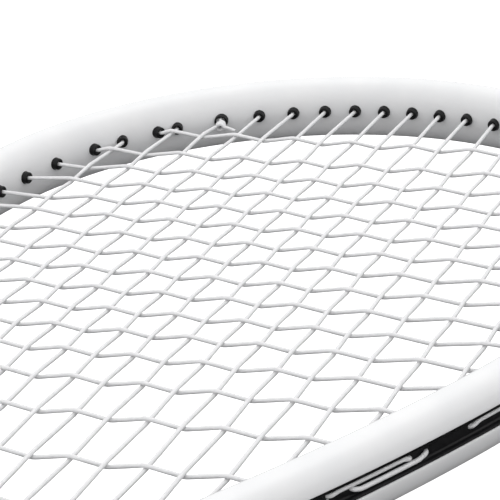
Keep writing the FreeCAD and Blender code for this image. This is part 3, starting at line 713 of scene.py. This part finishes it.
def tape_material():
    """Matt vinyl tape with small wrinkles along its length."""
    material, node, shade = new_material("black_tape")
    shade(Base_Color=tint(node, noise(node, 300), (0.02, 0.02, 0.021), (0.045, 0.045, 0.046)),
          Roughness=spread(node, noise(node, 500), 0.35, 0.55),
          Normal=bumped(node, noise(node, 140, 4.0, (1, 6, 1)), 0.12, 0.5))
    return material


def rubber_material():
    """Black moulded rubber with a dusty, slightly uneven skin."""
    material, node, shade = new_material("black_rubber")
    shade(Base_Color=tint(node, noise(node, 220), (0.014, 0.014, 0.014), (0.034, 0.034, 0.035)),
          Roughness=spread(node, noise(node, 700), 0.5, 0.72),
          Normal=bumped(node, noise(node, 1800, 3.0), 0.04, 0.5))
    return material


def cap_material():
    """Satin black plastic with the even grain of a textured mould."""
    material, node, shade = new_material("cap_plastic")
    surface = node("TexCoord").outputs["Object"]
    grain = node("TexVoronoi", Vector=surface, Scale=1300.0).outputs["Distance"]
    shade(Base_Color=tint(node, noise(node, 180), (0.012, 0.012, 0.013), (0.024, 0.024, 0.026)),
          Roughness=spread(node, noise(node, 600), 0.38, 0.52),
          Normal=bumped(node, grain, 0.05, 0.4))
    return material


def foam_material():
    """The skin of a moulded foam pallet: cream, with the fine pores of the foam."""
    material, node, shade = new_material("pallet_foam")
    surface = node("TexCoord").outputs["Object"]
    pores = node("TexVoronoi", Vector=surface, Scale=900.0).outputs["Distance"]
    shade(Base_Color=tint(node, noise(node, 120), (0.62, 0.55, 0.36), (0.74, 0.68, 0.50)),
          Roughness=spread(node, noise(node, 500), 0.75, 0.95),
          Normal=bumped(node, pores, 0.15, 0.7))
    return material


def wire_material():
    """Zinc-plated staple wire, drawn along its length."""
    material, node, shade = new_material("staple_wire")
    shade(Base_Color=tint(node, noise(node, 900), (0.42, 0.43, 0.45), (0.62, 0.62, 0.64)),
          Roughness=spread(node, noise(node, 1200, 3.0, (0.1, 1, 1)), 0.22, 0.45),
          Normal=bumped(node, noise(node, 2500, 2.0, (0.05, 1, 1)), 0.01, 0.5))
    shade(Metallic=1.0)
    return material


# ---------------------------------------------------------------- moulded frame and bridge


def grooved_outline(curve, groove, widen=0.0):
    """A tube's section with the string groove in its outer wall. groove is its share of the full depth."""
    half_groove = GROOVE_WIDTH / 2
    lip = 0.8
    edge = ((half_groove + lip) / curve.half_depth) ** (TUBE_SQUARENESS / 2)
    start = math.asin(edge)
    around = superellipse(curve.half + widen, curve.half_depth, TUBE_SQUARENESS,
                          start, 2 * math.pi - start, 68)
    wall = curve.wall(half_groove) + widen
    profile = []
    for share in (0.34, 0.67, 1.0):
        swing = share * math.pi / 2
        profile.append((wall - lip * (1 - math.cos(swing)), half_groove + lip * (1 - math.sin(swing))))
    profile += [(curve.floor + 0.3, half_groove), (curve.floor, half_groove - 0.3)]
    lower = [(x, -z) for x, z in profile]
    upper = profile[::-1]
    closing = [(x + (wall - x) * (1 - groove), z) for x, z in lower + [(curve.floor, 0.0)] + upper]
    return around + closing


def arm_x(y):
    """How far the arms' centreline is from the long axis, at a height in the throat."""
    s = RIM.find(WIDEST, RIM.length, lambda point: point.y <= y)
    return RIM.at(s)[0].x


def shaft_piece():
    """The shaft, and the moulding that joins it to the two arms, with a hollow end towards the bridge."""
    meet_y = RIM.at(RIM.length)[0].y
    part_s = RIM.find(WIDEST, RIM.length, lambda point: point.x < 0.25)
    part_y = RIM.at(part_s)[0].y
    start_y = node_box("grip_collar")[1].y - 6
    end_y = meet_y + WEB_LENGTH
    outer = arm_x(part_y) + BEAM_WIDTH / 2
    web_width = arm_x(end_y) + 0.6
    # Each station is a place along the racket, half a width, half a depth and a squareness
    stations = [(start_y, SHAFT_HALF_WIDTH, SHAFT_HALF_DEPTH, SHAFT_SQUARENESS),
                (meet_y - 30, SHAFT_HALF_WIDTH, SHAFT_HALF_DEPTH, SHAFT_SQUARENESS),
                (part_y - 8, outer - 0.1, SHAFT_HALF_DEPTH, 2.6), (part_y + 2, outer + 0.15, 9.4, 2.4),
                (end_y - WEB_END_ROUNDING, web_width, 7.0, 3.0)]
    for degrees in range(15, 91, 15):
        lap = math.radians(degrees)
        y = end_y - WEB_END_ROUNDING + WEB_END_ROUNDING * math.sin(lap)
        stations.append((y, web_width, 2.0 + WEB_END_ROUNDING * math.cos(lap), 3.0))
    rings = []
    for first, last in zip(stations, stations[1:]):
        steps = max(1, round((last[0] - first[0]) / 3))
        for step in range(steps + (last is stations[-1])):
            share = step / steps
            eased = smooth_step(share, 0, 1)
            y = first[0] + share * (last[0] - first[0])
            width, depth, squareness = (a + eased * (b - a) for a, b in zip(first[1:], last[1:]))
            hollow = 0.055 * smooth_step(y, part_y + 4, end_y)
            last_angle = 2 * math.pi * OUTLINE_STEPS / (OUTLINE_STEPS + 1)
            ring = superellipse(width, depth, squareness, 0, last_angle, OUTLINE_STEPS)
            rings.append([Vector((x, y + hollow * x * x, PLANE + z)) for x, z in ring])
    return skinned("shaft", rings), part_s


def softened(piece, low_y, high_y, rounds):
    """Evens out a moulding between two places along the racket, as if its joint lines were sanded."""
    shape = bmesh.new()
    shape.from_mesh(piece.data)
    near = [vertex for vertex in shape.verts if low_y < vertex.co.y / MM < high_y]
    for _ in range(rounds):
        bmesh.ops.smooth_vert(shape, verts=near, factor=0.5,
                              use_axis_x=True, use_axis_y=True, use_axis_z=True)
    shape.to_mesh(piece.data)
    shape.free()
    return piece


def build_frame(material):
    """The moulded frame: a tube bent round the head, whose arms run into the shaft."""
    shaft, part_s = shaft_piece()

    def outline(s):
        buried = 1 - 0.05 * smooth_step(abs(s), part_s - 22, part_s)
        section = grooved_outline(RIM, 1 - smooth_step(abs(s), GROOVE_END - 5, GROOVE_END))
        return [(across * buried, up * buried) for across, up in section]

    stations = even_steps(-part_s, part_s, 1.6)
    tube = swept("moulded_frame", RIM, stations, outline)
    finish_mesh(tube)
    finish_mesh(shaft)
    part_y = RIM.at(part_s)[0].y
    whole = softened(united(tube, shaft), part_y - 25, part_y + 45, 24)
    finish_mesh(whole, math.radians(32))
    place(whole, material, "frame_lacquer", "racket_frame")


def build_bridge(material):
    """The bridge across the throat, which flares where it is moulded onto the arms."""
    reach = RIM.find(WIDEST, RIM.length, lambda point: point.y <= BRIDGE.at(0)[0].y + 8)
    arm = RIM.at(reach)[0].x
    end = BRIDGE.find(0, BRIDGE.length, lambda point: point.x >= arm)

    def outline(s):
        near_arm = smooth_step(abs(s), end - 15, end - 2) ** 2
        groove = 1 - smooth_step(abs(s), bridge_strip_end() + 0.5, bridge_strip_end() + 4)
        return grooved_outline(BRIDGE, groove, 3.5 * near_arm)

    piece = swept("bridge_moulding", BRIDGE, even_steps(-end, end, 1.2), outline)
    place(finish_mesh(piece), material, "frame_lacquer", "throat_bridge")


# ---------------------------------------------------------------- grommet strips


def bridge_strip_end():
    return BRIDGE_HOLES[-1].s_exit + 2.2


def strip_outline(curve, proud, reach):
    """A strip's section: a channel in the groove, with a rail out over the frame on both sides of it.

    proud is how far the rails stand off the frame, and reach how far they go from the middle.
    """
    inside, outside = CHANNEL_WIDTH / 2, GROOVE_WIDTH / 2 - 0.05
    bed = curve.floor + BED_THICKNESS
    top = curve.wall(inside) + proud
    upper = [(bed, 0.0), (bed, inside - 0.35), (bed + 0.35, inside)]
    upper += [(top - 0.25, inside), (top, inside + 0.2)]
    outer_reach = max(reach, inside + 0.3)
    for share in (0.35, 0.7, 1.0):
        height = inside + 0.2 + share * (outer_reach - inside - 0.4)
        upper.append((curve.wall(height) + proud - 0.25 * (share == 1.0), height))
    upper.append((curve.wall(outer_reach) + 0.5 * proud, outer_reach))
    upper.append((curve.wall(outer_reach) + 0.02 + min(0, proud), outer_reach - 0.1))
    for share in (0.6, 0.3, 0.0):
        height = outside + share * (outer_reach - 0.1 - outside)
        upper.append((curve.wall(height) + 0.02 + min(0, proud), height))
    upper += [(curve.floor + 0.25, outside), (curve.floor, outside - 0.25), (curve.floor, 0.0)]
    return upper + [(x, -z) for x, z in upper[-2:0:-1]]


def barrel(hole):
    """A turned barrel from the strip through the tube, with a rounded mouth and a bore for the string."""
    outer = TIE_BARREL_RADIUS if hole.tie else BARREL_RADIUS
    inner = TIE_BARREL_BORE if hole.tie else BARREL_BORE
    length = BARREL_STAND + (hole.curve.half + hole.curve.floor + 0.3) / hole.slope
    round_off = (outer - inner) / 2
    middle = (outer + inner) / 2
    profile = [(inner, length), (inner, 2.4), (inner, round_off)]
    for step in range(1, 6):
        angle = math.pi * step / 6
        profile.append((middle - round_off * math.cos(angle), round_off * (1 - math.sin(angle))))
    profile += [(outer, round_off), (outer, BARREL_STAND - 0.35), (outer + 0.22, BARREL_STAND + 0.05),
                (outer + 0.22, BARREL_STAND + 1.2), (outer - 0.05, BARREL_STAND + 1.6),
                (outer - 0.05, length)]
    aside = UP.cross(hole.axis).normalized()
    rings = []
    for radius, depth in profile:
        middle_point = hole.mouth + hole.axis * depth
        ring = []
        for number in range(24):
            angle = 2 * math.pi * number / 24
            ring.append(middle_point + (aside * math.cos(angle) + UP * math.sin(angle)) * radius)
        rings.append(ring)
    return skinned("barrel", rings, capped=False)


def build_strip(material, name, node, curve, low, high, guard=0.0):
    """A strip in the groove between low and high, with its barrels and, up to guard, its rails."""
    holes = [hole for hole in (RIM_HOLES if curve is RIM else BRIDGE_HOLES) if low < hole.s_exit < high]

    def outline(s):
        rail = 1 - smooth_step(abs(s), guard - 7, guard) if guard else 0.0
        proud = rail * (GUARD_PROUD + 0.12) - 0.12
        narrow = CHANNEL_WIDTH / 2 + 0.4
        return strip_outline(curve, proud, narrow + rail * (GUARD_REACH - narrow))

    strip = swept(name, curve, even_steps(low, high, 1.6), outline)
    whole = joined(name, [strip] + [barrel(hole) for hole in holes])
    place(finish_mesh(whole), material, "black_nylon", node)


def build_strips(material):
    build_strip(material, "tip_bumper_strip", "head_bumper", RIM, -BUMPER_END, BUMPER_END, GUARD_END)
    side_low, side_high = BUMPER_END + STRIP_GAP, GROOVE_END - STRIP_GAP
    build_strip(material, "side_strip_right", "grommet_strip_right", RIM, side_low, side_high)
    build_strip(material, "side_strip_left", "grommet_strip_left", RIM, -side_high, -side_low)
    reach = bridge_strip_end()
    build_strip(material, "bridge_strip", "bridge_grommet_strip", BRIDGE, -reach, reach)


# ---------------------------------------------------------------- strings


def string_piece(name, points):
    """A round string along a route, with its ends nipped off square."""
    path = rounded_path(points)
    heading = (path[1] - path[0]).normalized()
    across = heading.orthogonal().normalized()
    rings = []
    for number, point in enumerate(path):
        before, after = path[max(0, number - 1)], path[min(len(path) - 1, number + 1)]
        ahead = (after - before).normalized()
        across = (heading.rotation_difference(ahead) @ across).normalized()
        heading = ahead
        upright = heading.cross(across)
        ring = []
        for side in range(STRING_SIDES):
            angle = 2 * math.pi * side / STRING_SIDES
            ring.append(point + (across * math.cos(angle) + upright * math.sin(angle)) * STRING_RADIUS)
        rings.append(ring)
    return skinned(name, rings)


def build_strings(material):
    for name, node, route in (("woven_mains", "main_string", main_route()),
                              ("woven_crosses", "cross_string", cross_route())):
        piece = string_piece(name, route)
        place(finish_mesh(piece, math.radians(60)), material, "white_string", node)


# ---------------------------------------------------------------- handle

HANDLE_STEPS = 96


def handle_radius(angle, width, height, bevel, rounding=0.45):
    """How far a racket handle's eight-sided outline is from its middle, at an angle.

    The corners are rounded by a power mean over the distances to the eight sides.
    """
    bevel_distance = (width / 2 + height / 2 - bevel) / math.sqrt(2)
    sides = ((0, width / 2), (45, bevel_distance), (90, height / 2), (135, bevel_distance))
    power = 22 / rounding
    total = 0.0
    for degrees, distance in sides:
        total += abs(math.cos(angle - math.radians(degrees)) / distance) ** power
    return total ** (-1 / power)


def handle_ring(y, width, height, bevel, extra=None, rounding=0.45):
    """A ring of points round the handle. extra(angle) is added to the outline's distance."""
    ring = []
    for step in range(HANDLE_STEPS):
        angle = 2 * math.pi * step / HANDLE_STEPS
        radius = handle_radius(angle, width, height, bevel, rounding) + (extra(angle) if extra else 0.0)
        ring.append(Vector((radius * math.cos(angle), y, PLANE + radius * math.sin(angle))))
    return ring


def hollow_rings(rings, middle_y):
    """Rings that close a piece at its end with a small inset before the flat cap."""
    inset = [Vector((point.x * 0.96, middle_y, PLANE + (point.z - PLANE) * 0.96)) for point in rings[-1]]
    return rings + [inset]


def build_grip(material):
    """The wrap, wound in a spiral from the butt: each turn's edge overlaps the one before it."""
    low, high = node_box("base_grip")
    width, height = high.x - low.x - 1.0, high.z - low.z - 1.0
    strip_pitch, overlap = 21.0, 3.4
    rings = []
    for y in even_steps(low.y, high.y, 0.7):

        def ridge(angle):
            turn = ((y - low.y) / strip_pitch - angle / (2 * math.pi)) % 1.0
            lap = turn * strip_pitch
            rise = smooth_step(lap, 0.0, 0.5) * (1 - smooth_step(lap, overlap - 1.2, overlap + 0.6))
            crown = 0.18 * math.sin(math.pi * turn)
            return 0.62 * rise + crown

        rings.append(handle_ring(y, width, height, 7.0, ridge))
    piece = skinned("wrapped_grip", rings)
    place(finish_mesh(piece, math.radians(50)), material, "grip_wrap", "base_grip")


def build_tape(material):
    """The tape that holds the wrap's upper end, one and a half turns with a cut end."""
    low, high = node_box("finishing_tape")
    width, height = high.x - low.x, high.z - low.z
    rings = []
    for y in even_steps(low.y, high.y, 0.8):

        def lap(angle):
            second = 0.28 * smooth_step(angle, 0.5, 0.56) * (1 - smooth_step(angle, 3.7, 3.76))
            wave = 0.10 * math.sin(5 * angle + 0.9 * y) + 0.06 * math.sin(11 * angle - 1.7 * y)
            return 0.35 + second + wave

        rings.append(handle_ring(y, width, height, 7.4, lap))
    piece = skinned("wrapped_tape", rings)
    place(finish_mesh(piece, math.radians(50)), material, "tape", "finishing_tape")


def build_collar(material):
    """The rubber collar that covers the tape's edge: a lip, three ribs and a taper down to the shaft."""
    low, high = node_box("grip_collar")
    width, height = high.x - low.x, high.z - low.z
    neck_width, neck_height = (2 * (half + COLLAR_WALL) for half in (SHAFT_HALF_WIDTH, SHAFT_HALF_DEPTH))
    lip_end = low.y + 11.0
    rings = []
    for y in even_steps(low.y, high.y, 0.4):
        share = smooth_step(y, lip_end - 1, high.y - 1)
        from_low, from_high = y - low.y, high.y - y
        edge = -0.9 * (1 - min(1, from_low / 0.9)) ** 2 - 0.7 * (1 - min(1, from_high / 0.7)) ** 2
        rib = 0.0
        if lip_end + 1 < y < high.y - 2:
            rib = 0.35 * (0.5 - 0.5 * math.cos(2 * math.pi * (y - lip_end - 1) / 3.3)) ** 0.6
        sizes = [a + share * (b - a) for a, b in ((width, neck_width), (height, neck_height), (8.0, 5.0))]
        rings.append(handle_ring(y, *sizes, lambda angle: edge + rib))
    piece = skinned("rubber_collar", hollow_rings(rings, high.y - 0.3))
    place(finish_mesh(piece, math.radians(50)), material, "collar_rubber", "grip_collar")


def build_cap(material):
    """The butt cap: a flared, rounded end with a shallow dish, narrowing to a lip at the wrap."""
    low, high = node_box("butt_cap")
    width, height = high.x - low.x, high.z - low.z
    belly_end, waist_end = low.y + 8.5, low.y + 17.0
    shape = ((low.y + 0.5, -11.0), (low.y + 0.5, -7.6), (low.y + 0.25, -6.9), (low.y, -6.2))
    rings = [handle_ring(y, width, height, 8.0, lambda angle: inset, 1.6) for y, inset in shape]
    for step in range(1, 9):
        angle = math.pi / 2 * step / 8
        inset = -4.2 * (1 - math.sin(angle))
        y = low.y + 4.2 * (1 - math.cos(angle))
        rings.append(handle_ring(y, width, height, 8.0, lambda around: inset, 1.6))
    for y in even_steps(low.y + 4.8, waist_end, 0.6):
        inset = -2.3 * smooth_step(y, belly_end - 2, waist_end)
        rings.append(handle_ring(y, width, height, 8.0, lambda around: inset, 1.3))
    rings.append(handle_ring(waist_end + 0.3, width, height, 8.0, lambda around: -2.6, 1.3))
    rings.append(handle_ring(waist_end + 0.3, width, height, 8.0, lambda around: -4.4, 1.3))
    rings.append(handle_ring(high.y, width, height, 8.0, lambda around: -4.6, 1.3))
    piece = skinned("flared_cap", rings)
    place(finish_mesh(piece, math.radians(38)), material, "cap_plastic", "butt_cap")


def finish_hidden_nodes():
    """The pallet and the staples keep their CAD meshes and get their own materials."""
    for node, slot, material in (("handle_pallet", "pallet_foam", foam_material()),
                                 ("cap_staples", "staple_wire", wire_material())):
        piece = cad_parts[node]
        piece.data.materials.clear()
        piece.data.materials.append(material)


# ---------------------------------------------------------------- floor, light and camera


def build_floor():
    """A wide pale floor. Seen directly it is white; the light it sends up onto the racket is dim and even."""
    bpy.ops.mesh.primitive_plane_add(size=14, location=(0, 0, CAD_LOW.z - 0.2 * MM))
    floor = bpy.context.object
    floor.name = "floor"
    material = bpy.data.materials.new("pale_floor")
    material.use_nodes = True
    nodes, links = material.node_tree.nodes, material.node_tree.links
    nodes.clear()
    output = nodes.new("ShaderNodeOutputMaterial")
    mix = nodes.new("ShaderNodeMixShader")
    path = nodes.new("ShaderNodeLightPath")
    dim = nodes.new("ShaderNodeBsdfDiffuse")
    dim.inputs["Color"].default_value = (0.2, 0.2, 0.204, 1)
    seen = nodes.new("ShaderNodeAddShader")
    white = nodes.new("ShaderNodeBsdfDiffuse")
    white.inputs["Color"].default_value = (0.9, 0.9, 0.9, 1)
    glow = nodes.new("ShaderNodeEmission")
    glow.inputs["Strength"].default_value = 0.75
    links.new(white.outputs[0], seen.inputs[0])
    links.new(glow.outputs[0], seen.inputs[1])
    links.new(path.outputs["Is Camera Ray"], mix.inputs[0])
    links.new(dim.outputs[0], mix.inputs[1])
    links.new(seen.outputs[0], mix.inputs[2])
    links.new(mix.outputs[0], output.inputs["Surface"])
    floor.data.materials.append(material)


def soft_lamp(name, power, width, place_at):
    """A square soft lamp that faces the racket."""
    lamp = bpy.data.lights.new(name, "AREA")
    lamp.size = width
    lamp.energy = power
    lamp_object = bpy.data.objects.new(name, lamp)
    lamp_object.location = place_at
    lamp_object.rotation_euler = UP.rotation_difference(lamp_object.location).to_euler()
    bpy.context.scene.collection.objects.link(lamp_object)


def build_light():
    """An even white studio: a bright surround, a very large soft lamp above and a weaker one in front."""
    world = bpy.data.worlds.new("studio")
    bpy.context.scene.world = world
    world.use_nodes = True
    background = world.node_tree.nodes["Background"]
    background.inputs["Color"].default_value = (1.0, 1.0, 1.0, 1)
    background.inputs["Strength"].default_value = 1.0
    soft_lamp("soft_box", 3.5, 1.6, (0.3, 0.2, 1.5))
    soft_lamp("front_box", 2.0, 1.2, (0.5, -1.4, 0.9))
    bpy.context.scene.view_settings.view_transform = "Standard"


def build_camera():
    """Close above the throat, looking across the strings at the far side of the head."""
    camera = bpy.data.cameras.new("camera")
    camera.lens = 158.3
    camera.sensor_width = 36.0
    camera.clip_start = 0.01
    view = bpy.data.objects.new("camera", camera)
    view.location = (0.2295, -0.2814, 0.2414)
    view.rotation_euler = Euler([math.radians(angle) for angle in (67.64, 4.81, 22.96)])
    bpy.context.scene.collection.objects.link(view)
    bpy.context.scene.camera = view


# ---------------------------------------------------------------- the whole scene

lacquer = lacquer_material()
nylon = nylon_material()

build_frame(lacquer)
build_bridge(lacquer)
build_strips(nylon)
build_strings(string_material())
build_grip(grip_material())
build_tape(tape_material())
build_collar(rubber_material())
build_cap(cap_material())
finish_hidden_nodes()
build_floor()
build_light()
build_camera()
